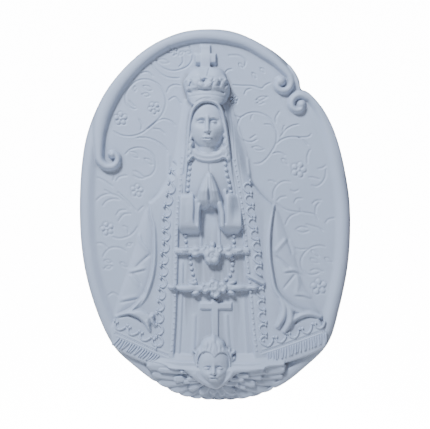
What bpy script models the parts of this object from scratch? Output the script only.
"""A madonna wall plaque: an oval casting in relief, with a flat back and a blind hole to hang it by.

The relief is a height over the flat back, put together from named rims, folds, tubes, domes and leaves.
All sizes in this file are millimetres on the plaque; the solid is made in metres.
X is to the right, Z is up, and the height stands out towards -Y.
"""
import math

import bmesh
import bpy
import numpy as np
from mathutils import Matrix, Vector

# Driving dimensions, in millimetres
PLAQUE_WIDTH = 217.9
PLAQUE_HEIGHT = 298.6
GRID_STEP = 0.9
FRONT_TRIANGLES = 8900
HANG_HOLE_RADIUS = 4.75
HANG_HOLE_DEPTH = 12.0
HANG_HOLE_Z = 104.0
MM = 0.001
SIDES_OF_HOLE = 32

# Heights
FLOOR = -1000.0
GROUND = 11.0
EDGE = 7.0
WALL = GRID_STEP  # how wide a sharp edge is


def smooth_path(points, steps=8, closed=False):
    """A Catmull-Rom curve through the points, as an array of (x, z)."""
    p = np.array(points, float)
    p = np.vstack([p[-1:], p, p[:2]]) if closed else np.vstack([2 * p[0] - p[1], p, 2 * p[-1] - p[-2]])
    t = np.linspace(0, 1, steps, endpoint=False)[:, None]
    spans = []
    for a, b, c, d in zip(p, p[1:], p[2:], p[3:]):
        bend = 2 * a - 5 * b + 4 * c - d
        twist = 3 * b - a - 3 * c + d
        spans.append(0.5 * (2 * b + (c - a) * t + bend * t**2 + twist * t**3))
    path = np.vstack(spans)
    return path if closed else np.vstack([path, p[-2]])


def volute(centre, start, sweep, outer, inner, steps=28):
    """A spiral about a centre, from the outer radius to the inner one; degrees, anticlockwise."""
    share = np.linspace(0, 1, steps)
    angle = np.radians(start + sweep * share)
    radius = outer + (inner - outer) * share
    return np.stack([centre[0] + radius * np.cos(angle), centre[1] + radius * np.sin(angle)], axis=1)


def ramp(value, low, high):
    """0 below low, 1 above high, with a smooth rise between."""
    t = np.clip((value - low) / (high - low), 0, 1)
    return t * t * (3 - 2 * t)


def soft_max(a, b, blend):
    """The higher of two heights, with a fillet of about the blend's size where they meet."""
    blend = np.maximum(blend, 1e-6)
    share = np.clip(0.5 + 0.5 * (b - a) / blend, 0, 1)
    return a + (b - a) * share + blend * share * (1 - share)


def nearest(x, z, path):
    """Distance to the path, share of its length at the nearest point, and which side the point is on."""
    steps = np.diff(path, axis=0)
    lengths = np.hypot(steps[:, 0], steps[:, 1])
    starts = np.concatenate([[0], np.cumsum(lengths)])
    best = np.full(x.shape, np.inf)
    share = np.zeros(x.shape)
    side = np.ones(x.shape)
    for (ax, az), (dx, dz), length, start in zip(path, steps, lengths, starts):
        if length < 1e-9:
            continue
        t = np.clip(((x - ax) * dx + (z - az) * dz) / length**2, 0, 1)
        away = (x - ax - t * dx) ** 2 + (z - az - t * dz) ** 2
        closer = away < best
        best = np.where(closer, away, best)
        share = np.where(closer, (start + t * length) / starts[-1], share)
        side = np.where(closer, np.sign((x - ax) * dz - (z - az) * dx), side)
    return np.sqrt(best), share, side


def inside(x, z, outline):
    """True within a closed outline, by counting the edges that a ray to the right crosses."""
    within = np.zeros(x.shape, bool)
    for (ax, az), (bx, bz) in zip(outline, np.roll(outline, -1, axis=0)):
        if az != bz:
            within ^= ((az > z) != (bz > z)) & (x < (bx - ax) * (z - az) / (bz - az) + ax)
    return within


def depth_inside(x, z, outline):
    """Distance in from a closed outline, negative outside."""
    away = nearest(x, z, np.vstack([outline, outline[:1]]))[0]
    return np.where(inside(x, z, outline), away, -away)


class Relief:
    def __init__(self, xs, zs):
        self.xs, self.zs = xs, zs
        self.height = np.full((len(zs), len(xs)), GROUND)

    def near(self, points, reach):
        low, high = np.min(points, axis=0) - reach, np.max(points, axis=0) + reach
        block = (slice(*np.searchsorted(self.zs, (low[1], high[1]))),
                 slice(*np.searchsorted(self.xs, (low[0], high[0]))))
        return block, *np.meshgrid(self.xs[block[1]], self.zs[block[0]])

    def cover(self, block, shape, blend=0.0):
        self.height[block] = soft_max(self.height[block], shape, blend)

    def dome(self, centre, radii, base, top, turn=0.0, blend=0.0, power=0.5, over=None):
        """The cap of an ellipsoid, on the flat back or over another surface."""
        block, x, z = self.near([centre], max(radii) + 1)
        c, s = math.cos(math.radians(turn)), math.sin(math.radians(turn))
        dx, dz = x - centre[0], z - centre[1]
        q = ((dx * c + dz * s) / radii[0]) ** 2 + ((dz * c - dx * s) / radii[1]) ** 2
        below = over(x, z) if over else 0.0
        self.cover(block, np.where(q < 1, below + base + (top - base) * np.clip(1 - q, 0, 1) ** power,
                                   FLOOR), blend)

    def tube(self, path, widths, base, tops, blend=0.0, lean=0.0, power=2, over=None):
        """A rounded bar along a path: half widths and crests from its start to its end."""
        path = np.array(path, float)
        block, x, z = self.near(path, max(widths) + 1)
        away, share, side = nearest(x, z, path)
        width = np.interp(share, np.linspace(0, 1, len(widths)), widths)
        top = np.interp(share, np.linspace(0, 1, len(tops)), tops)
        q = (away / width) ** power
        round_top = base + (top - base) * np.sqrt(np.clip(1 - q, 0, 1)) + lean * side * away
        below = over(x, z) if over else 0.0
        self.cover(block, np.where(q < 1, below + round_top, FLOOR), blend)

    def slab(self, outline, top, edge, blend=0.0, drop=1.0, soft=0.0, replace=False, rim_line=None):
        """A field whose edge, or the part of it along rim_line, is rounded or (soft = 1) fades in a slope."""
        outline = np.array(outline, float)
        block, x, z = self.near(outline, 1)
        depth = depth_inside(x, z, outline)
        given = (top, edge, drop, blend, soft)
        level, edge, drop, blend, soft = (v(x, z) if callable(v) else v for v in given)
        from_rim = depth if rim_line is None else np.where(depth > 0, nearest(x, z, rim_line)[0], 0)
        rim = 1 - np.clip(from_rim / edge, 0, 1)
        fall = 1 - np.sqrt(1 - rim**2)
        shape = level - drop * (fall + (ramp(rim, 0, 1) - fall) * soft)
        if not replace:
            shape = soft_max(self.height[block], shape, blend)
        share = np.clip(0.5 + depth / WALL, 0, 1)
        self.height[block] += (shape - self.height[block]) * share

    def ridge(self, path, width, rise, ends=0.12, lip=0.0):
        """Pushes the surface up (or down) along a path; a lip stands up on both sides of a cut."""
        path = np.array(path, float)
        block, x, z = self.near(path, 4 * width)
        away, share, _ = nearest(x, z, path)
        fade = ramp(share, 0, ends) * ramp(1 - share, 0, ends) if ends else 1.0
        push = rise * np.exp(-((away / width) ** 2))
        if lip:
            push += lip * np.exp(-(((away - 2 * width) / width) ** 2))
        self.height[block] += push * fade


HALF_WIDTH = PLAQUE_WIDTH / 2
HALF_HEIGHT = PLAQUE_HEIGHT / 2
r = Relief(
    np.arange(-HALF_WIDTH - GRID_STEP, HALF_WIDTH + 2 * GRID_STEP, GRID_STEP),
    np.arange(-HALF_HEIGHT - GRID_STEP, HALF_HEIGHT + 2 * GRID_STEP, GRID_STEP),
)


# Outline
OUTLINE = smooth_path([
    (-6, 149.6), (18, 146.6), (44, 133.8), (60, 120.6), (67.4, 109.5), (69.3, 101.6), (75.5, 98.2),
    (88, 83.5), (97.6, 63.2), (104.6, 36), (108.8, 4), (107.4, -37), (99.8, -76), (90.8, -103.4),
    (72.5, -122.4), (51, -138.2), (22, -148), (-18, -147.5), (-43, -137.5), (-65, -121.5),
    (-82.6, -104), (-96.4, -74), (-105.4, -40), (-108.8, -4), (-107.6, 37), (-101.6, 69.6),
    (-86.4, 101.6), (-60, 130.4), (-32, 145.6)], closed=True)


def carve_ground():
    x, z = np.meshgrid(r.xs, r.zs)
    depth = depth_inside(x, z, OUTLINE)
    lower = ramp(-z, 92, 108)
    ground = GROUND - 3.0 * lower
    crest = 13.6 - 2.8 * lower
    shoulder = np.sqrt(1 - (1 - np.clip(depth / 6.5, 0, 1)) ** 2)
    soft_rim = EDGE + (crest - EDGE) * shoulder + (ground - crest) * ramp(depth, 6.5, 13.5)
    plain = EDGE + (ground - EDGE) * shoulder
    r.height = plain + (soft_rim - plain) * ramp(-z, -105, -60)
    r.height[depth < 0] = EDGE

RIM_WALK = [(-92.8, 58), (-92.6, 66), (-90.6, 77), (-86.4, 88.4), (-80, 100), (-71, 111.8), (-56, 126.2),
            (-37, 137.6), (-10, 143.6), (20.8, 139.4), (43, 127.4), (55, 117), (59.8, 111.5)]
LEFT_VOLUTE = dict(centre=(-82.6, 46), start=172, sweep=262, outer=10.2, inner=2.6)
RIGHT_VOLUTE = dict(centre=(53.4, 105), start=32, sweep=-275, outer=8.2, inner=2.2)
LOW_VOLUTE = dict(centre=(67.4, 88), start=72, sweep=300, outer=8.6, inner=1.8)


def carve_scroll_rims():
    path = np.vstack([volute(**LEFT_VOLUTE)[::-1], smooth_path(RIM_WALK), volute(**RIGHT_VOLUTE)])
    r.tube(path, [3.0, 3.6, 4.6, 6.9, 7.2, 6.8, 6.2, 5.7, 5.3, 5.5, 5.6, 5.4, 5.6, 4.4, 3.4, 3.0],
           EDGE, [17.2, 17.4, 17.4, 16.8, 16.6, 16.6, 16.6, 16.8, 17.4, 17.4, 17], blend=0.4, power=2.6)
    r.dome(path[0], (3.4, 3.4), GROUND, 18.6, blend=0.5)
    r.dome(path[-1], (3.2, 3.2), GROUND, 18.6, blend=0.5)
    path = np.vstack([volute(**LOW_VOLUTE)[::-1],
                      smooth_path([(76.5, 93.6), (83.5, 84.2), (89.6, 71), (95, 54), (99, 34)])])
    r.tube(path, [2.6, 3.2, 3.8, 4.4, 5.2, 6.0, 6.0, 6.0, 6.0], GROUND - 2,
           [17.2, 17.4, 17.4, 16.2, 15, 14.2, 13.6, 12.8], blend=0.8)
    r.dome(path[0], (3.3, 3.3), GROUND, 18.8, blend=0.4)


# Mantle
RIDGE_LEFT = smooth_path([(-52, 9.6), (-51, 0.3), (-48.6, -8.8), (-48, -20.4), (-48, -31.8), (-49, -43.2),
                          (-51.7, -54.8), (-57, -66.6), (-66.2, -75.8), (-78.4, -81.1)])
RIDGE_RIGHT = smooth_path([(47, 7.4), (44.8, -4.8), (43.4, -16.8), (43.4, -32), (44.8, -44), (48, -59.2),
                           (55, -68.8), (66.4, -76.8), (82.4, -81.2)])
INNER_LEFT = smooth_path([(-18.6, 90), (-20.6, 80), (-22.2, 66), (-23.8, 42.7), (-26, 17), (-28.8, -8.8),
                          (-29.9, -47), (-31, -82), (-33.4, -119.8)])
INNER_RIGHT = smooth_path([(5.6, 90), (9.4, 80), (11.2, 66), (12.8, 42), (16.8, 20), (20.8, -4), (24, -36),
                           (27.2, -60), (28.8, -88), (32, -119.8)])
SHOULDER_LEFT = [(-24.6, 92.5), (-27, 80), (-29.2, 68), (-31.4, 52), (-36.6, 34), (-44, 19.6), (-52, 9.6)]
SHOULDER_RIGHT = [(12, 92.5), (16, 80), (20.6, 66), (25.6, 50), (28.8, 31), (35, 20), (47, 7.4)]
LOBE_LEFT = [(-56, 4.4), (-60.8, -9), (-63.8, -24), (-68, -36), (-71.5, -48), (-75.8, -60), (-80.6, -76),
             (-83.6, -90)]
LOBE_RIGHT = [(51, 3), (55.6, -10.4), (59, -20), (63.4, -31), (67, -44), (71, -56), (78.4, -68), (86, -84),
              (90, -96)]
HEM_LEFT = [(-83, -103.8), (-76.5, -108.6), (-62.5, -115.6), (-55, -118.6), (-44, -119.6), (-33.4, -119.8)]
HEM_RIGHT = [(90.4, -103.8), (80, -109.8), (68, -114.6), (56, -118.4), (44, -119.6), (32, -119.8)]


def axis_x(z):
    """The middle line of the leaning figure at a height."""
    return -3.9 - 0.027 * z


def mantle_top(x, z):
    across = np.abs(x - axis_x(z))
    level = np.interp(z, [-120, -85, -40, 0, 40, 60, 92], [17.2, 16.6, 16.4, 16.8, 17.6, 18.0, 18.6])
    return level - 2.4 * ramp(across, 20, 46)


def mantle_edge(x, z):
    return 2.0 + 8.0 * ramp(z, 4, 40)


def mantle_drop(x, z):
    return np.interp(z, [-104, -90, 4, 22, 60, 92], [0.9, 1.6, 1.6, 3.6, 6.6, 7.4])


def mantle_fillet(x, z):
    return 0.6 + 1.6 * ramp(z, 8, 40)


def mantle_softness(x, z):
    return ramp(z, 16, 40)


def carve_mantle():
    for shoulder, lobe, fold, inner, hem in (
        (SHOULDER_LEFT, LOBE_LEFT, RIDGE_LEFT, INNER_LEFT, HEM_LEFT),
        (SHOULDER_RIGHT, LOBE_RIGHT, RIDGE_RIGHT, INNER_RIGHT, HEM_RIGHT),
    ):
        outer = np.vstack([smooth_path(shoulder)[-2:], smooth_path(lobe), fold[::-1]])
        r.slab(outer, 13.4, 12, blend=0.8, drop=3.2)
        reach = np.array([12.0 if lobe is LOBE_LEFT else -12.0, 0])
        front = np.vstack([smooth_path(shoulder), fold, [lobe[-1]], smooth_path(hem), inner[::-1] + reach])
        r.slab(front, mantle_top, mantle_edge, blend=mantle_fillet, drop=mantle_drop, soft=mantle_softness,
               rim_line=np.vstack([smooth_path(shoulder), fold, [lobe[-1]], smooth_path(hem)]))
        r.tube(fold, [0.9, 1.4, 1.7, 1.9, 2.2, 1.5], 12.5, [14.6, 16.2, 16.6, 16.8, 16.8, 14.8], blend=1.6)


# Folds
FOLDS = [  # line, width, rise
    ([(-60.9, -12.8), (-59.4, -20.4), (-56.3, -25), (-51, -31)], 1.5, 1.1),
    ([(-59.4, -12.8), (-57.8, -20.4), (-54.8, -25), (-49.6, -31)], 0.8, -0.9),
    ([(-50.8, -30.7), (-57.8, -36.5), (-64.4, -42.8)], 0.9, -1.4),
    ([(-70.3, -45.6), (-63.2, -44.1), (-54, -41.8)], 1.4, 0.9),
    ([(-70.3, -47.4), (-63.2, -46), (-54, -43.6)], 0.7, -1.0),
    ([(-67.2, -46.0), (-63.2, -50.2), (-58.4, -56.8)], 0.8, -1.1),
    ([(-68.6, -46.6), (-64.8, -51.2), (-60, -58)], 1.5, 0.7),
    ([(-77.2, -70.6), (-70, -68.8), (-60.2, -66.6)], 0.8, -1.2),
    ([(-77.2, -68.4), (-70, -66.6), (-60.2, -64.4)], 1.6, 0.7),
    ([(58.3, -17.6), (52.6, -24), (46.8, -30.8)], 1.5, 1.1),
    ([(47, -31.8), (54.2, -37.2), (61.3, -43.6)], 0.9, -1.4),
    ([(57.3, -18.6), (59.9, -25.2), (62.4, -33.4)], 0.8, -1.0),
    ([(58.8, -18.2), (61.4, -25), (64, -33)], 1.4, 0.7),
    ([(54, -45.2), (61.8, -43.8), (66.4, -44.9), (70.5, -48.3)], 1.2, 0.9),
    ([(54, -47), (61.8, -45.8), (66.4, -47), (69.5, -50)], 0.7, -1.1),
    ([(65.2, -46.2), (58.8, -54), (54, -60)], 0.8, -1.2),
    ([(62.8, -63), (71, -63.7), (78.1, -66.6)], 1.4, 0.8),
    ([(62.8, -64.8), (71, -65.6), (78.1, -68.4)], 0.7, -1.1),
    ([(66, -47), (66.4, -55), (64.6, -64)], 1.6, 0.7),
    ([(-34.8, 30), (-35.6, 0), (-36.4, -40), (-38.4, -84)], 3.0, 0.3),
    ([(-41.8, 10), (-42.4, -14), (-43, -42), (-47, -68)], 2.4, -0.6),
    ([(29, 24), (31.4, -6), (33, -44), (35, -86)], 3.0, 0.3),
    ([(38.4, 8), (38.8, -14), (39.2, -42), (43.4, -66)], 2.4, -0.6),
]
ROLLED_ENDS = [  # line, half widths, crests
    ([(52, -67), (54.8, -73), (54.4, -80), (50.0, -88.6)], [2.0, 2.9, 3.2, 2.2], [16.6, 18.0, 18.6, 17.4]),
    ([(56.6, -70), (59.6, -76), (59.8, -84), (55.4, -92.4)], [2.0, 3.0, 3.4, 2.2],
     [16.6, 18.0, 18.8, 17.4]),
    ([(61.0, -84.6), (67, -80.8), (74.9, -78.9), (84.4, -81.2)], [2.0, 2.4, 2.2, 1.4],
     [17.2, 17.4, 16.8, 15.2]),
    ([(-56.6, -82.8), (-54.0, -86.6), (-52.2, -91.4)], [1.6, 2.2, 1.4], [17.6, 18.8, 17.4]),
    ([(-53.4, -79.6), (-50.2, -83.6), (-48.0, -88.2)], [1.4, 1.9, 1.1], [17.6, 18.4, 17.0]),
]


def carve_folds():
    for line, width, rise in FOLDS:
        r.ridge(smooth_path(line), width, rise, ends=0.22)
    for line, width, rise in (  # where the shoulders turn into the ground
        ([(-37.2, 50), (-37.0, 38), (-37.8, 28)], 1.3, 0.7),
        ([(-37.6, 30), (-41, 23.4), (-45.4, 17.2), (-51, 11.6)], 0.55, -1.1),
        ([(26.4, 47), (27.0, 39), (28.0, 31)], 1.0, 0.8),
        ([(27.4, 33), (31, 25), (36.6, 17.6), (44.4, 9.6)], 0.6, -1.5),
    ):
        r.ridge(smooth_path(line), width, rise, ends=0.15)
    # A low fold spreads from the ridge to the knob, and its own lower edge rolls over a dark hollow.
    r.slab(smooth_path([(-78.6, -80.4), (-69.6, -77.4), (-62, -75.4), (-56.6, -76.6), (-52, -79.6),
                        (-50.6, -84), (-52.4, -88.6),
                        (-56.4, -86.6), (-60.8, -82.6), (-66, -79.9), (-70, -79.0), (-75, -80.0)],
                        closed=True), 18.2, 3.4,
           blend=0.9, drop=2.6)
    for line, widths, tops in ROLLED_ENDS:
        r.tube(smooth_path(line), widths, 13.5, tops, blend=0.9)
    for x, z, size in ((-54.2, -84.4, 2.3), (-50.0, -80.4, 2.1)):
        r.dome((x, z), (size, size), 14, 19.2, blend=0.6)
    for line, width, depth in (
        ([(-78.2, -82.2), (-75, -81.0), (-69.6, -80.0), (-64.8, -81.4), (-60.7, -83.6), (-57.4, -86.8)],
         0.8, -1.5),
        ([(-66.2, -77.6), (-61.2, -72.6), (-57.2, -66.4), (-55.0, -59.6)], 0.9, -1.6),
        ([(-52.0, -82.6), (-50.8, -86.0)], 0.7, -1.4),
        ([(63.4, -87.2), (67.6, -82.8), (74.8, -80.8), (82.9, -82.8)], 0.8, -1.5),
    ):
        r.ridge(smooth_path(line), width, depth, ends=0.1)


# Hem band and the ledge below
BAND_LEFT = smooth_path([(-80.0, -94.0), (-66, -99.9), (-50, -107), (-36.2, -112.6)])
BAND_RIGHT = smooth_path([(36.8, -109.4), (52, -104.6), (70, -98.2), (87.0, -92.0)])
LEDGE = [(-54.4, -110.5), (55.6, -110.5), (55.8, -119.4), (50, -119.8), (43, -120.2), (40.2, -121.2),
         (39.6, -122.6), (35, -122.8),
         (30, -123.7), (25, -124.5), (20, -124.8), (-22, -124.4), (-25, -122.7), (-34, -122.2),
         (-37.4, -121.4), (-38.2, -120.0),
         (-44, -118.0), (-50, -116.9), (-54, -117.2)]


def ledge_top(x, z):
    """The ledge over the wings rises towards its lower edge, so it faces up and catches the light."""
    return 14.0 + 6.2 * np.clip((-z - 110.5) / 11, 0, 1.3) ** 1.25 - 1.6 * ramp(np.abs(x), 30, 55)


def carve_hem():
    for band in (BAND_LEFT, BAND_RIGHT):
        r.ridge(band, 2.4, 0.8, ends=0.02)


# Robe
ROBE = np.vstack([INNER_LEFT[::-1], INNER_RIGHT])


def robe_top(x, z):
    middle = 1 - ((x - axis_x(z)) / 34) ** 2
    return 12.7 + 1.6 * middle + 3.9 * ramp(z, -6, 40)


def carve_robe():
    r.slab(ROBE, robe_top, 1.0, drop=0, replace=True)
    for line, width, rise in (
        ([(-26.4, -34), (-26.8, -60), (-28, -90), (-29.6, -118)], 1.3, 0.9),
        ([(-24.6, -36), (-25.0, -60), (-26.2, -90), (-27.8, -117)], 0.6, -0.4),
        ([(-16.4, -78), (-17, -98), (-18.4, -116)], 1.5, 0.7),
        ([(-14.4, -80), (-14.8, -98), (-15.8, -110)], 0.6, -0.35),
        ([(9.0, -78), (9.8, -94), (10.8, -106)], 1.0, 0.6),
        ([(11.2, -78), (12.2, -94), (13.6, -112)], 0.6, -0.4),
        ([(23.0, -60), (24.4, -90), (26.2, -116)], 1.2, 0.6),
    ):
        r.ridge(smooth_path(line), width, rise, ends=0.08)
    r.tube([(-11.4, 6), (-11.2, -10), (-11, -26)], [1.2, 1.2], 12, [15.6, 15.2], blend=0.6)
    r.tube([(3.2, 6), (3.4, -10), (3.8, -26)], [1.2, 1.2], 12, [15.6, 15.2], blend=0.6)

COLLAR = [(-19.4, 51.2), (-17.4, 46.6), (-14.6, 44.0), (-10, 42.4), (-5, 41.9), (1, 42.8), (5.4, 44.6),
          (8.2, 48), (9.4, 52.4),
          (6, 53.4), (1.4, 50.4), (-5, 49.2), (-11, 50.0), (-15.6, 52.6)]


def carve_chest():
    r.dome((-5, 30), (20, 26), 13, 20.6, blend=2.0)
    r.dome((-5.4, 54), (8.0, 12), 15, 22.0, blend=1.2)
    r.slab(smooth_path(COLLAR, closed=True), lambda x, z: 21.2 + 0.8 * ramp(-np.abs(x + 5.2), -16, -4), 1.6,
           blend=0.5, drop=1.1)
    for reach, low, push in ((13.0, 44.4, -0.5), (12.0, 46.4, 0.35), (11.0, 48.0, -0.6)):
        arc = smooth_path([(-5.2 - reach, low + 4.6), (-5.2 - 0.62 * reach, low + 1.3), (-5.2, low),
                           (-5.2 + 0.62 * reach, low + 1.3),
                           (-5.2 + reach, low + 4.6)])
        r.ridge(arc, 0.5, push)
    for x, z, turn in ((-18.8, 46.0, 32), (-20.6, 43.8, 60), (7.6, 45.8, -32), (10.2, 44.0, -60)):
        r.dome((x, z), (2.7, 1.3), 17, 22.6, turn=turn, blend=0.3)
    r.ridge(smooth_path([(-4.6, 41), (-4.4, 37), (-4.2, 33)]), 0.6, -0.8)


# Heads
def face(centre, half_width, half_height, base, crest, child=0.0):
    cx, cz = centre
    w, h = half_width, half_height
    chin = cz - h
    third = 2 * h / 3 * (1 - 0.12 * child)
    nose_base = chin + third * (1 - 0.04 * child)
    brow = chin + 2 * third * (1 - 0.08 * child)
    eyes = brow - 0.27 * third
    mouth = nose_base - 0.36 * third
    u = w / 12.0
    skin = crest - 2.8 * u
    r.dome(centre, (w, h), base, skin, blend=0.6 * u, power=0.42)
    r.dome((cx, cz - 0.26 * h), (0.80 * w, 0.68 * h), base, skin + 0.2 * u, blend=1.5 * u)
    for side in (-1, 1):
        eye = cx + side * 0.41 * w
        r.ridge([(eye - side * 1.0 * u, eyes + 0.4 * u), (eye + side * 1.2 * u, eyes)], 2.9 * u, -2.1 * u,
                ends=0)
        r.ridge([(cx + side * 2.3 * u, eyes + 0.8 * u), (cx + side * 2.5 * u, eyes - 1.0 * u)], 1.4 * u,
                -0.9 * u, ends=0)
        r.ridge(smooth_path([(cx + side * 1.7 * u, brow - 0.6 * u), (cx + side * 4.6 * u, brow + 0.5 * u),
                             (cx + side * 8.6 * u, brow - 1.2 * u)]), 1.0 * u, 0.8 * u)
        r.dome((eye, eyes - 0.2 * u), (2.6 * u, 1.65 * u), crest - 8.4 * u, crest - 3.9 * u, blend=0.2 * u)
        for rise, sag, push in ((1.0, 0.42, 0.95), (1.75, 0.3, -0.55), (-1.75, 0.36, 0.5),
                                (-0.7, 0.26, -0.4)):
            lid = smooth_path([(eye - 2.9 * u, eyes - 0.5 * u),
                               (eye - 1.4 * u, eyes - 0.2 * u + 0.8 * rise * u),
                               (eye + 1.4 * u, eyes - 0.2 * u + 0.8 * rise * u),
                               (eye + 2.9 * u, eyes - 0.5 * u)])
            r.ridge(lid, sag * u, push * u, ends=0.1)
        r.ridge([(cx + side * 5.6 * u, nose_base + 0.8 * u), (cx + side * 6.4 * u, nose_base + 2.4 * u)],
                3.4 * u, (0.7 + 0.9 * child) * u, ends=0)
    r.tube([(cx, brow + 0.8 * u), (cx, brow - 2.2 * u), (cx, nose_base + 3.0 * u),
            (cx, nose_base + 1.1 * u)],
           [1.5 * u, 1.6 * u, 2.2 * u, 2.5 * u], crest - 5.0 * u,
           [crest - 2.6 * u, crest - 1.9 * u, crest - 0.3 * u, crest + 0.9 * u], blend=1.1 * u, power=1.6)
    for side in (-1, 1):
        r.dome((cx + side * 2.1 * u, nose_base + 1.1 * u), (1.35 * u, 1.3 * u), crest - 4.4 * u,
               crest - 0.9 * u, blend=0.5 * u)
        r.ridge([(cx + side * 0.9 * u, nose_base - 0.1 * u), (cx + side * 1.8 * u, nose_base)], 0.5 * u,
                -0.9 * u, ends=0)
    lips = 3.3 * u
    r.ridge([(cx - 0.9 * lips, mouth), (cx + 0.9 * lips, mouth)], 2.3 * u, 0.9 * u, ends=0)
    r.ridge([(cx, nose_base - 0.8 * u), (cx, mouth + 1.5 * u)], 0.6 * u, -0.4 * u)
    r.ridge(smooth_path([(cx - lips, mouth + 0.1 * u), (cx - 1.1 * u, mouth + 1.15 * u),
                         (cx, mouth + 0.85 * u),
                         (cx + 1.1 * u, mouth + 1.15 * u), (cx + lips, mouth + 0.1 * u)]), 0.65 * u,
                         0.75 * u)
    r.ridge(smooth_path([(cx - 0.8 * lips, mouth - 0.8 * u), (cx, mouth - 1.7 * u),
                         (cx + 0.8 * lips, mouth - 0.8 * u)]),
            0.85 * u, 0.95 * u)
    r.ridge(smooth_path([(cx - 1.08 * lips, mouth - 0.1 * u), (cx, mouth - 0.15 * u),
                         (cx + 1.08 * lips, mouth - 0.1 * u)]),
            0.4 * u, -1.1 * u, ends=0.05)
    r.ridge([(cx - 1.6 * u, mouth - 3.5 * u), (cx + 1.6 * u, mouth - 3.5 * u)], 0.9 * u, -0.5 * u, ends=0)
    r.ridge([(cx - 1.2 * u, chin + 0.28 * third), (cx + 1.2 * u, chin + 0.28 * third)], 2.3 * u, 1.0 * u,
            ends=0)

HEAD = (-6.0, 70.6)
HOOD_EDGE = smooth_path([(-24.6, 30), (-24.0, 42), (-23.2, 54), (-22, 70), (-20.0, 81), (-17.0, 86.9),
                         (-12, 90.7), (-6.4, 92),
                         (-0.6, 91), (4.0, 87.8), (7.4, 81), (10.2, 68), (12.2, 54), (13.6, 42)])
HOOD_BAND = smooth_path([(-24.6, 16), (-22.8, 38), (-21.8, 54), (-20.5, 70), (-18.5, 80.4), (-15.7, 85.7),
                         (-11.3, 89.1), (-6.4, 90.2), (-1.4, 89.3),
                         (2.8, 86.5), (5.9, 80.4), (8.6, 68), (10.5, 54), (12.2, 38), (15.6, 18)])
HOOD_LINING = smooth_path([(-18.7, 72), (-17.0, 80), (-14.2, 84.6), (-10.6, 87.4), (-6.3, 88.4),
                           (-2.0, 87.6), (1.8, 85.2),
                           (4.2, 80), (6.4, 72)])


def carve_head():
    r.dome((-6.0, 73.0), (13.4, 20.6), 15, 26.6, blend=0.5, power=0.42)
    face(HEAD, 12.2, 17.8, 17.5, 30.2)
    # Wavy hair falls on both sides of the neck.
    for middle, foot, side in ((-18.9, -19.6, -1), (8.0, 9.6, 1)):
        z = np.linspace(69, 45, 13)
        waves = np.interp(z, [45, 69], [foot, middle]) + 0.8 * np.sin(1.15 * z + side)
        r.tube(smooth_path(np.stack([waves, z], axis=1), steps=3), [1.2, 1.8, 2.0, 2.1, 1.6], 17,
               [21.6, 22.2, 22.4, 22.4, 21.4], blend=0.5)
        for k in range(5):
            top = 66.5 - 4.6 * k
            lock = np.interp(top, [45, 69], [foot, middle])
            r.ridge([(lock - 1.8 * side, top), (lock + 1.8 * side, top - 2.6)], 0.45, -0.9, ends=0.1)
    r.tube(HOOD_BAND, [1.0, 1.5, 1.6, 1.7, 1.8, 1.7, 1.6, 1.5, 1.0], 15,
           [16.5, 19.6, 21.4, 23.4, 27.4, 27.4, 23.4, 21.4, 19.6, 16.5], blend=0.5, power=4)
    r.ridge(HOOD_EDGE, 0.6, -1.6, ends=0.03)
    r.ridge(HOOD_LINING, 0.5, -0.9)


# Crown
CROWN = [(-21.3, 91), (-22.7, 95.8), (-24, 99.9), (-25, 104), (-24.7, 107), (-22.7, 109.9), (-18.9, 114.3),
         (-14.6, 117.4),
         (-8.6, 118.6), (-2.2, 118), (4.0, 115), (7.8, 111), (10, 107.2), (11.4, 103), (11.9, 98.5),
         (10.6, 93.8), (8.4, 90.2),
         (4, 88), (-0.6, 91.2), (-6.4, 92.2), (-12, 90.9), (-17, 87.2)]
CROWN_X = -6.6


def crown_top(x, z):
    half = np.interp(z, [90, 99, 105, 110, 119], [15.4, 18.8, 19.0, 18.2, 16])
    u = np.clip(np.abs(x - CROWN_X) / half, 0, 1)
    high = np.interp(z, [86, 92, 97.6, 99.6, 103, 107.6, 109.4, 114, 119],
                     [29.4, 28.2, 26.8, 28.2, 28.8, 28.4, 25.0, 21.0, 15])
    return 13.5 + (high - 13.5) * np.sqrt(1 - 0.94 * u * u)


def arms_top(x, z):
    """The cross lies low on the ground, and below its arms the moulding slopes back."""
    return 10.6 + 4.8 * np.clip((z - 118.8) / 3.2, 0, 1)


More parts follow.
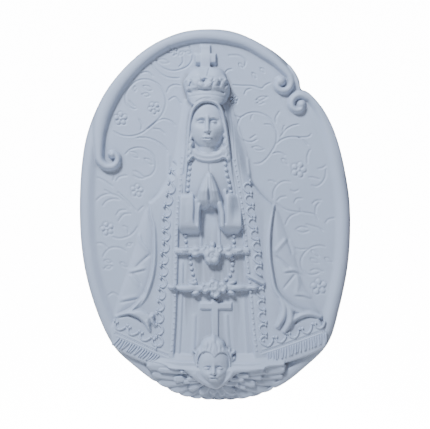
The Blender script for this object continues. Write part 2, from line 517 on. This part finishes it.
def carve_crown():
    r.slab(smooth_path(CROWN, steps=4, closed=True), crown_top, 1.8, drop=2.4,
           rim_line=smooth_path(CROWN[:16]))
    r.ridge(HOOD_EDGE[44:60], 0.6, -0.8, ends=0.2)
    # Two arches swell over the leaves and meet at the foot of the cross.
    r.dome((-12.8, 109.6), (9.4, 8.8), 10, 24.0, blend=2.4, power=0.7)
    r.dome((-0.4, 109.4), (9.6, 8.8), 10, 23.6, blend=2.4, power=0.7)
    r.ridge(smooth_path([(-4.3, 117.4), (-5.2, 113.6), (-6.2, 109.6)]), 0.5, -1.3, ends=0.05)
    # The leaves of the frieze: each is a small dome that lies over the drum.
    for x, z, long, across, turn, lift in (
        (-15.4, 104.4, 4.6, 3.0, 112, 1.8), (0.4, 104.4, 4.6, 3.0, 66, 1.8),
        (-11.0, 102.2, 3.8, 2.1, 150, 1.9),
        (-4.6, 102.2, 3.8, 2.1, 30, 1.9), (-12.4, 106.6, 2.8, 1.5, 112, 1.8),
        (-2.8, 106.8, 2.8, 1.5, 66, 1.8),
        (-8.0, 100.6, 4.6, 1.3, 0, 1.5), (-15.8, 100.6, 3.0, 1.4, 10, 1.5),
        (0.6, 100.6, 3.0, 1.4, -10, 1.5),
        (-20.8, 103.2, 3.6, 1.8, 100, 1.7), (-22.6, 106.6, 2.2, 1.2, 60, 1.8),
        (-18.6, 107.6, 2.2, 1.2, 120, 1.5),
        (6.4, 103.6, 3.6, 1.9, 80, 1.7), (4.4, 107.0, 2.2, 1.2, 110, 1.6), (8.4, 106.4, 2.2, 1.2, 70, 1.8),
        (9.4, 100.4, 2.6, 1.3, 80, 1.4), (-21.8, 99.4, 2.2, 1.3, 60, 1.4),
    ):
        r.dome((x, z), (long, across), -1.4, lift, turn=turn, blend=0.2, over=crown_top)
        c, t = 0.6 * long * math.cos(math.radians(turn)), 0.6 * long * math.sin(math.radians(turn))
        r.ridge([(x - c, z - t), (x + c, z + t)], 0.35, -0.6, ends=0.1)
    # Deep places between them.
    for line, width, depth in (
        ([(-9.8, 104.8), (-8.0, 106.2), (-6.9, 107.8)], 1.3, -3.6),
        ([(-13.4, 98.9), (-8, 98.4), (-2.7, 98.9)], 0.55, -1.8),
        ([(-20.2, 101), (-18.9, 105)], 0.6, -2.4), ([(-2.4, 101.6), (-0.9, 104.8)], 0.6, -2.0),
        ([(3.6, 101.6), (4.2, 105)], 0.6, -2.2),
        ([(-21.0, 98.0), (-18.2, 96.2)], 1.0, -2.0), ([(4.6, 98.2), (7.6, 96.4)], 1.0, -1.8),
        ([(9.0, 101.8), (9.6, 105)], 0.6, -1.8),
    ):
        r.ridge(smooth_path(line), width, depth, ends=0.05)
    r.ridge(smooth_path([(-20.6, 93.4), (-14, 94.2), (-7, 94.6), (0, 94.2), (8, 92.6)]), 0.45, -0.6, ends=0)
    r.slab([(-16, 118.8), (-16, 129), (1, 129), (1, 118.8)], arms_top, 0.9, drop=0.9)
    r.slab([(-11.6, 112), (-11.6, 136), (-3.4, 136), (-3.4, 112)], 15.6, 1.0, drop=1.0)


# Sleeves and hands
LEFT_SLEEVE = [(-27.4, 15.4), (-22, 16.8), (-17.2, 16.4), (-16.4, 8), (-16.6, -5), (-12.4, -8.8),
               (-12.4, -14.2), (-17, -15.6),
               (-24, -15.2), (-28.0, -12.6), (-28.4, -2), (-28, 9)]
RIGHT_SLEEVE = [(9.0, 15.6), (14.6, 17.0), (19.4, 14.6), (20.8, 6), (21.4, -4), (21.2, -10), (18.2, -14.6),
                (13, -15.8),
                (8, -14.4), (4.6, -9.8), (8.2, -6.4), (8.8, 2)]


def sleeve_top(x, z):
    """Highest at the opening; the right sleeve fades into the mantle at its upper outer corner."""
    level = np.interp(z, [-16, -15, -9.4, -8.4, 0, 8, 14, 17],
                      [13.5, 15.4, 22.8, 24.2, 24.6, 24.3, 23.2, 21.4])
    return level - 5.6 * ramp(x, 11, 21) * ramp(z, -6, 12)


HANDS = [(-5.2, 33.6), (-7.8, 30.6), (-11.4, 23), (-14.0, 14), (-15.6, 8), (-14.2, 5.2), (-11, 3.4),
         (-7.2, 4.4), (-3.4, 7.4),
         (-0.4, 5.4), (2.8, 4.8), (6.2, 5.6), (7.2, 8), (4.8, 14), (1.8, 23), (-1.6, 30.6), (-4.4, 33.6)]


def hand_top(x, z):
    half = np.interp(z, [3, 12, 20, 33], [12, 11, 9, 5])
    crest = np.interp(z, [2, 6, 10, 20, 33.5], [21.6, 24.2, 26.6, 29.4, 27.2])
    return crest - 3.2 * ((x + 4.6) / half) ** 2


def carve_sleeves_and_hands():
    r.tube([(-12.6, 8), (-13.4, 2), (-13.3, -9.2)], [2.6, 2.0, 1.6], 14, [23.6, 23.4, 23.0], blend=0.8)
    r.tube([(3.6, 9), (5.6, 2), (6.0, -8.4)], [3.0, 3.0, 2.8], 14, [24.0, 24.2, 23.6], blend=0.8, power=3)
    for outline in (LEFT_SLEEVE, RIGHT_SLEEVE):
        r.slab(smooth_path(outline, closed=True), sleeve_top, 1.6, blend=1.2, drop=1.5)
    for x in (-23.6, 14.6):
        r.ridge(smooth_path([(x, 14), (x + 0.5, 4), (x - 0.2, -7.6)]), 1.6, -0.35, ends=0.2)
    r.slab([(-17, 6.4), (-14, 6.4), (-14, -9), (-17, -9)], 21.0, 0.6, drop=0.4)
    r.ridge([(8.6, 4.6), (8.7, -7.0)], 0.6, -0.6, ends=0.05)
    r.slab(smooth_path(HANDS, closed=True), hand_top, 3.0, blend=0.4, drop=4.0)
    r.ridge([(-5.1, 33.5), (-5.0, 20), (-4.4, 12)], 0.5, -1.4, ends=0.04)
    r.ridge([(-4.8, 22), (-4.2, 7)], 1.1, -2.2, ends=0.25)
    for line in ([(-7.2, 30), (-9.2, 23), (-11.0, 15), (-11.6, 9)], [(-6.2, 30), (-7.2, 22), (-8.2, 14)],
                 [(-2.4, 30), (-0.6, 23), (1.4, 15), (2.6, 9)], [(-3.6, 30), (-2.4, 22), (-1.2, 14)]):
        r.ridge(smooth_path(line), 0.5, -0.6)


# Belts with roses
def rose(centre, size, base, top, turn=0):
    cx, cz = centre
    r.dome(centre, (size, size), base - 1, top - 0.8, blend=0.4, power=0.35)
    for k in range(5):
        angle = math.radians(90 + turn + 72 * k)
        r.dome((cx + 0.72 * size * math.cos(angle), cz + 0.72 * size * math.sin(angle)),
               (0.52 * size, 0.42 * size), base, top,
               turn=72 * k + 90 + turn, blend=0.25)
    r.ridge(volute(centre, 30 + turn, 400, 0.55 * size, 0.15 * size), 0.32, -0.8, ends=0)
    r.dome(centre, (0.3 * size, 0.3 * size), base, top + 0.5, blend=0.3)


def leaf(start, end, width, base, top, vein=0.5):
    (sx, sz), (ex, ez) = start, end
    r.dome(((sx + ex) / 2, (sz + ez) / 2), (math.hypot(ex - sx, ez - sz) / 2, width / 2), base, top,
           turn=math.degrees(math.atan2(ez - sz, ex - sx)), blend=0.2, power=0.6)
    r.ridge([start, end], 0.32, -vein, ends=0.15)

BELT_LEAVES = [
    ((-11, -28), (-18, -26), 4.0), ((-12, -31), (-19, -31.6), 3.6), ((7, -28), (14, -26), 4.0),
    ((7.4, -31), (14.6, -31.8), 3.6),
    ((-20, -28.4), (-27, -27.4), 3.4), ((16, -28.6), (23, -27.6), 3.4), ((-12, -57.8), (-30, -58.4), 5.8),
    ((-30.4, -57.4), (-37.6, -57.4), 3.4), ((11, -57.6), (25.4, -57.4), 5.0),
    ((26.2, -57.6), (34.8, -57.6), 3.6),
    ((-14, -54.6), (-21, -53.6), 3.0), ((10, -54.4), (17, -53.2), 3.0), ((-12, -61.4), (-19, -62.6), 3.0),
    ((9.6, -61.2), (16, -62.2), 3.0),
]


def carve_belts():
    r.tube([(-30, -28.6), (-16, -28.8), (-4, -29.0), (14, -28.8), (25.6, -28.4)],
           [2.5, 2.75, 2.75, 2.75, 2.4], 14,
           [19.4, 20.6, 21, 20.6, 19.4], power=6)
    r.tube([(-29, -58), (-20, -58.2), (-12, -58)], [2.2, 3.0, 2.9], 14, [19, 20.6, 21], power=5)
    r.tube([(11, -57.6), (20, -57.6), (26, -57.8)], [2.9, 2.7, 2.2], 14, [21, 20.6, 19], power=5)
    r.tube([(26.7, -48.4), (32.6, -51.4), (38.6, -54.6)], [1.3, 1.7, 1.4], 15, [18.4, 19.6, 18.6])
    for start, end, width in BELT_LEAVES:
        leaf(start, end, width, 18, 22.2)
    for centre, size, top, turn in (
        ((-2.4, -32.6), 5.4, 24.0, 0), ((-7.6, -27.6), 3.4, 23.0, 20), ((4.0, -27.6), 3.4, 23.0, 50),
        ((-1.4, -56.2), 4.8, 24.2, 10),
        ((-7.6, -57.8), 4.0, 23.2, 30), ((5.6, -57.4), 4.2, 23.2, 60), ((0.3, -62), 3.8, 23.4, 40),
    ):
        rose(centre, size, 19.5, top, turn)
    r.dome((-1.9, -23.8), (2.2, 2.6), 18, 22.8, blend=0.3)
    r.slab([(-2.8, -67.6), (-2.8, -69.6), (-12, -69.6), (-12, -75.2), (-2.8, -75.2), (-2.8, -99),
            (2.8, -99), (2.8, -75.2),
            (13.6, -75.2), (13.6, -69.6), (2.8, -69.6), (2.8, -67.6)], 16.4, 0.9, drop=1.0)


# Pearls
PEARLS = [
    [(-19.7, 41.4), (-20.1, 36), (-20.9, 30), (-21.7, 21.8)],
    [(8.1, 38), (9.7, 30.2), (11, 26.4), (12.2, 17.8)],
    [(-23.5, -16), (-23, -24.6)],
    [(15, -16), (15, -24.6)],
    [(-19.9, -36.4), (-18.5, -44), (-15.6, -53.4)],
    [(14, -36.6), (13.4, -45), (9, -51.4)],
]


def carve_pearls():
    for line in PEARLS:
        path = smooth_path(line)
        steps = np.hypot(*np.diff(path, axis=0).T)
        along = np.concatenate([[0], np.cumsum(steps)])
        count = max(2, int(round(along[-1] / 3.9)) + 1)
        for stop in np.linspace(0, along[-1], count):
            x = float(np.interp(stop, along, path[:, 0]))
            z = float(np.interp(stop, along, path[:, 1]))
            level = r.height[int(np.searchsorted(r.zs, z)), int(np.searchsorted(r.xs, x))]
            r.dome((x, z), (1.75, 1.75), level - 0.6, level + 1.5)


# Wings
WING = [(-53.6, -117.4), (-54.2, -120.4), (-51, -125), (-47.8, -129.2), (-45.4, -134.2), (-40, -138),
        (-36.4, -140.4), (-30, -143.6),
        (-26.4, -145.6), (-19, -147.0), (-14, -148.4), (2, -149.2), (20, -148.6), (25, -148.2),
        (31.4, -145.8), (36, -144.2),
        (41.6, -141.4), (44, -138.6), (49, -134.4), (52.6, -130), (55.2, -124.6), (55.8, -119.2),
        (40, -117.8), (0, -117), (-40, -115.8)]


# Root, tip and half width of every feather, from the outer row to the inner one and from the lowest up
FEATHERS = [
    [((3, -142), (2.2, -149.4), 3.4), ((-1.5, -141.5), (-7.4, -149), 3.2), ((6, -144), (12.4, -149.2), 2.6),
     ((-7, -142), (-17.4, -148.2), 3.0),
     ((10, -143.4), (23, -148.6), 3.0), ((-14.5, -139.5), (-27.2, -146.2), 3.5),
     ((15, -140), (32, -146.8), 3.5),
     ((-20, -135.6), (-36.4, -142.4), 3.8), ((21, -136.4), (43.6, -141.0), 3.6),
     ((-24, -132), (-46.2, -135.0), 3.9),
     ((32, -132.6), (49.8, -134.4), 3.2), ((-26, -129.6), (-50.6, -126.6), 3.4),
     ((37, -128.6), (54.6, -128.4), 3.0),
     ((-30, -124.2), (-54.6, -119.4), 3.1), ((39, -124.6), (56.2, -122.2), 3.5)],
    [((0, -137), (-2.6, -144), 3.2), ((3.5, -138), (7.0, -145), 3.1), ((-5, -136.6), (-12.6, -143.6), 3.1),
     ((8, -138), (16.8, -143.2), 3.5),
     ((-10, -133.6), (-21.6, -139.2), 3.3), ((16, -135.4), (25, -138.2), 2.2),
     ((20, -131.8), (32.8, -135.4), 3.1),
     ((-18, -129), (-33, -131.4), 2.7), ((25, -128.2), (38, -129.4), 2.5),
     ((-24, -125), (-45, -123.4), 1.9), ((24, -126.2), (40.2, -124.6), 2.2)],
    [((-12, -132), (-25, -133.6), 1.7), ((9, -134.4), (19, -135), 2.2), ((-13, -130), (-22, -131), 1.6),
     ((13, -131), (23.4, -131), 2.0),
     ((19, -127.4), (27.6, -128.2), 2.3)],
]


def wing_top(x, z):
    """The wings lean back towards the bottom edge, so they are in half shade."""
    return 7.0 + 10.0 * np.clip((z + 149) / 29, 0, 1) - 3.6 * ramp(np.abs(x - 1), 26, 54)


def part_way(a, b, share):
    return tuple(p + (q - p) * share for p, q in zip(a, b))


def feather(root, tip, half, lift):
    """A scale with a round tip, proud along its lower edge, and a groove round it."""
    side = 1 if tip[0] > root[0] else -1
    line = smooth_path([root, part_way(tip, root, half / math.dist(tip, root))])
    r.ridge(line + np.array([0.2 * side, -0.6]), half, -0.5, ends=0)
    r.tube(line, [0.8 * half, half, half], -0.8, [lift - 0.6, lift, lift + 0.4], lean=0.14 * side, power=6,
           over=wing_top)


def carve_wings():
    r.slab(smooth_path(WING, closed=True), wing_top, 1.2, drop=0.4, replace=True)
    for lift, row in zip((0.7, 1.7, 2.5), FEATHERS):
        for root, tip, half in row:
            feather(root, tip, half, lift)
    r.slab(LEDGE, ledge_top, 0.5, drop=0.4)


# Cherub
CHERUB = (-1.2, -120.0)
CHERUB_DRAPE = [(-34, -119.6), (-29.6, -121.8), (-24.8, -123.2), (-18.6, -128.2), (-12.4, -133),
                (-6, -136.6), (0.6, -138.6),
                (6.4, -136.2), (11.6, -131.2), (16.4, -126.6), (22.6, -124.4), (30, -122.8), (36, -120.6),
                (20, -114), (-20, -114)]


def drape_top(x, z):
    crest = np.interp(z, [-139, -130, -123, -114], [19.0, 21.0, 22.0, 15.0])
    return crest - 4.0 * ramp(np.abs(x + 1), 15, 34)


HAIR = smooth_path([(-15.4, -124.6), (-17.2, -119), (-17.0, -112.6), (-14.8, -107.4), (-12.2, -103.6),
                    (-10.0, -99.8),
                    (-6.4, -97.0), (-2.4, -96.0), (1.6, -96.6), (5.2, -99.2), (8.0, -103.6), (11, -107.4),
                    (13.6, -111.6),
                    (14.6, -117.6), (13.0, -124.0)], closed=True)
FOREHEAD = smooth_path([(-1.2, -134), (-9.6, -130), (-13.0, -123.5), (-13.6, -116), (-12.2, -110.8),
                        (-8.8, -107.8),
                        (-5.2, -108.0), (-2.4, -109.6), (-0.4, -112.0), (1.8, -109.8), (4.6, -108.4),
                        (7.8, -108.8), (10.2, -111.6),
                        (11.4, -116), (10.8, -123.5), (7.2, -130)], closed=True)


def carve_cherub():
    r.slab(smooth_path(CHERUB_DRAPE, closed=True), drape_top, 2.2, blend=0.3, drop=2.2)
    r.ridge(smooth_path([(-17, -124), (-11.6, -130), (-3, -135.8)]), 1.4, 0.9)
    r.ridge(smooth_path([(14.6, -122.6), (11, -129), (4, -135.6)]), 1.4, 0.9)
    r.dome((-26, -124.6), (2.4, 2.2), 14, 21.0, blend=0.4)
    r.ridge([(-24.6, -127.8), (-22.6, -129.0)], 0.9, -2.4, ends=0)
    r.dome((-1.2, -117.0), (13.4, 17.0), 15, 26.4, blend=0.6, power=0.42)
    face(CHERUB, 12.2, 13.0, 17.0, 29.0, child=1.0)
    block, x, z = r.near(HAIR, 1)
    skull = 14.0 + 13.0 * np.sqrt(np.clip(1 - ((x + 1.4) / 18.4) ** 2 - ((z + 115.6) / 24) ** 2, 0, 1))
    edge = np.clip(depth_inside(x, z, HAIR) / 4.0, 0, 1)
    hair = skull - 6.0 * (1 - np.sqrt(1 - (1 - edge) ** 2)) + 0.12 * np.sin(2.2 * x + 0.6 * z)
    r.cover(block, np.where((edge > 0) & (depth_inside(x, z, FOREHEAD) < 0), hair, FLOOR), 0.1)
    for line in ([(-13.4, -107), (-15.2, -112), (-15.2, -117), (-13.6, -121.6)],
                 [(11.2, -107.4), (12.8, -112), (13.2, -117), (12, -121.4)]):
        r.tube(smooth_path(line), [1.1, 1.5, 1.5, 1.1], 18, [25.0, 24.6, 23.6, 22.2], blend=0.8)
    for x, z, long, across, turn in ((-15.0, -108.6, 3.0, 1.3, 155), (-13.8, -122, 1.7, 1.3, 120),
                                     (13.4, -109.2, 2.8, 1.4, 25),
                                     (14.2, -117.8, 2.4, 1.4, 80)):
        r.dome((x, z), (long, across), 18, 24.6, turn=turn, blend=0.8)
    for x in (-6.6, -3.6, -0.6, 2.4):
        r.ridge(smooth_path([(x, -104.6), (x + 0.4, -100.6), (0.6 * x - 0.6, -97.2)]), 0.8, 0.2)


# The solid
def clear_scene():
    for old in list(bpy.data.objects):
        bpy.data.objects.remove(old, do_unlink=True)


def make_material(name, colour, roughness):
    material = bpy.data.materials.new(name)
    material.use_nodes = True
    shader = material.node_tree.nodes["Principled BSDF"]
    shader.inputs["Base Color"].default_value = (*colour, 1.0)
    shader.inputs["Roughness"].default_value = roughness
    return material


def nearest_on_outline(point, outline):
    starts = outline
    steps = np.roll(outline, -1, axis=0) - outline
    away = point - starts
    share = np.clip((away * steps).sum(axis=1) / (steps * steps).sum(axis=1), 0, 1)
    spots = starts + steps * share[:, None]
    return spots[np.argmin(((spots - point) ** 2).sum(axis=1))]


def front_sheet(collection):
    """The carved front as an open sheet, cut to the outline."""
    mesh = bpy.data.meshes.new("front")
    bm = bmesh.new()
    x, z = np.meshgrid(r.xs, r.zs)
    kept = inside(x, z, OUTLINE)
    corners = {}
    for row, col in np.argwhere(kept):
        place = (r.xs[col] * MM, -r.height[row, col] * MM, r.zs[row] * MM)
        corners[(row, col)] = bm.verts.new(place)
    for row, col in corners:
        square = [(row, col), (row, col + 1), (row + 1, col + 1), (row + 1, col)]
        if all(corner in corners for corner in square):
            bm.faces.new([corners[corner] for corner in square])
    loose = [vert for vert in bm.verts if not vert.link_faces]
    bmesh.ops.delete(bm, geom=loose, context="VERTS")
    rim = [vert for vert in bm.verts if vert.is_boundary]
    for vert in rim:
        spot = nearest_on_outline(np.array([vert.co.x, vert.co.z]) / MM, OUTLINE)
        vert.co = Vector((spot[0] * MM, -EDGE * MM, spot[1] * MM))
    bmesh.ops.remove_doubles(bm, verts=rim, dist=0.0001)
    bmesh.ops.triangulate(bm, faces=bm.faces[:])
    bm.to_mesh(mesh)
    bm.free()
    sheet = bpy.data.objects.new("front", mesh)
    collection.objects.link(sheet)
    return sheet


def thin_out(sheet, target):
    """The same sheet with fewer triangles, fewest where it is flat."""
    count = len(sheet.data.polygons)
    modifier = sheet.modifiers.new("thin", "DECIMATE")
    modifier.ratio = target / count
    view = bpy.context.evaluated_depsgraph_get()
    mesh = bpy.data.meshes.new_from_object(sheet.evaluated_get(view))
    sheet.modifiers.remove(modifier)
    return mesh


def close_back(mesh):
    """Walls from the front's edge to the flat back at Y = 0, and the back itself."""
    bm = bmesh.new()
    bm.from_mesh(mesh)
    rim = [edge for edge in bm.edges if edge.is_boundary]
    wall = bmesh.ops.extrude_edge_only(bm, edges=rim)["geom"]
    for item in wall:
        if isinstance(item, bmesh.types.BMVert):
            item.co.y = 0.0
    back = [edge for edge in bm.edges if edge.is_boundary]
    bmesh.ops.contextual_create(bm, geom=back)
    bmesh.ops.recalc_face_normals(bm, faces=bm.faces[:])
    bm.to_mesh(mesh)
    bm.free()


def main():
    clear_scene()
    parts = bpy.data.collections.new("madonna_wall_plaque")
    cutters = bpy.data.collections.new("cutters")
    bpy.context.scene.collection.children.link(parts)
    bpy.context.scene.collection.children.link(cutters)
    for carve in (
        carve_ground,
        carve_scroll_rims,
        carve_mantle,
        carve_folds,
        carve_hem,
        carve_robe,
        carve_chest,
        carve_head,
        carve_crown,
        carve_sleeves_and_hands,
        carve_belts,
        carve_pearls,
        carve_wings,
        carve_cherub,
    ):
        carve()
    sheet = front_sheet(cutters)
    mesh = thin_out(sheet, FRONT_TRIANGLES)
    bpy.data.objects.remove(sheet, do_unlink=True)
    close_back(mesh)
    mesh.name = "madonna_plaque"
    plaque = bpy.data.objects.new("madonna_plaque", mesh)
    parts.objects.link(plaque)
    mesh.materials.clear()
    mesh.materials.append(make_material("painted_plaster", (0.62, 0.68, 0.76), 0.6))

    # The hanging hole is blind and stays inside the thick part behind the crown.
    hole_mesh = bpy.data.meshes.new("hang_hole")
    bm = bmesh.new()
    bmesh.ops.create_cone(bm, cap_ends=True, segments=SIDES_OF_HOLE, radius1=HANG_HOLE_RADIUS * MM,
                          radius2=HANG_HOLE_RADIUS * MM,
                          depth=2 * HANG_HOLE_DEPTH * MM)
    bmesh.ops.rotate(bm, verts=bm.verts[:], matrix=Matrix.Rotation(math.pi / 2, 3, "X"))
    bm.to_mesh(hole_mesh)
    bm.free()
    hole = bpy.data.objects.new("hang_hole", hole_mesh)
    hole.location = (0.0, 0.0, HANG_HOLE_Z * MM)
    hole.hide_render = True
    hole.display_type = "WIRE"
    cutters.objects.link(hole)
    drill = plaque.modifiers.new("hanging hole", "BOOLEAN")
    drill.operation = "DIFFERENCE"
    drill.solver = "EXACT"
    drill.object = hole
    print("triangles in the front:", len(mesh.polygons))


main()
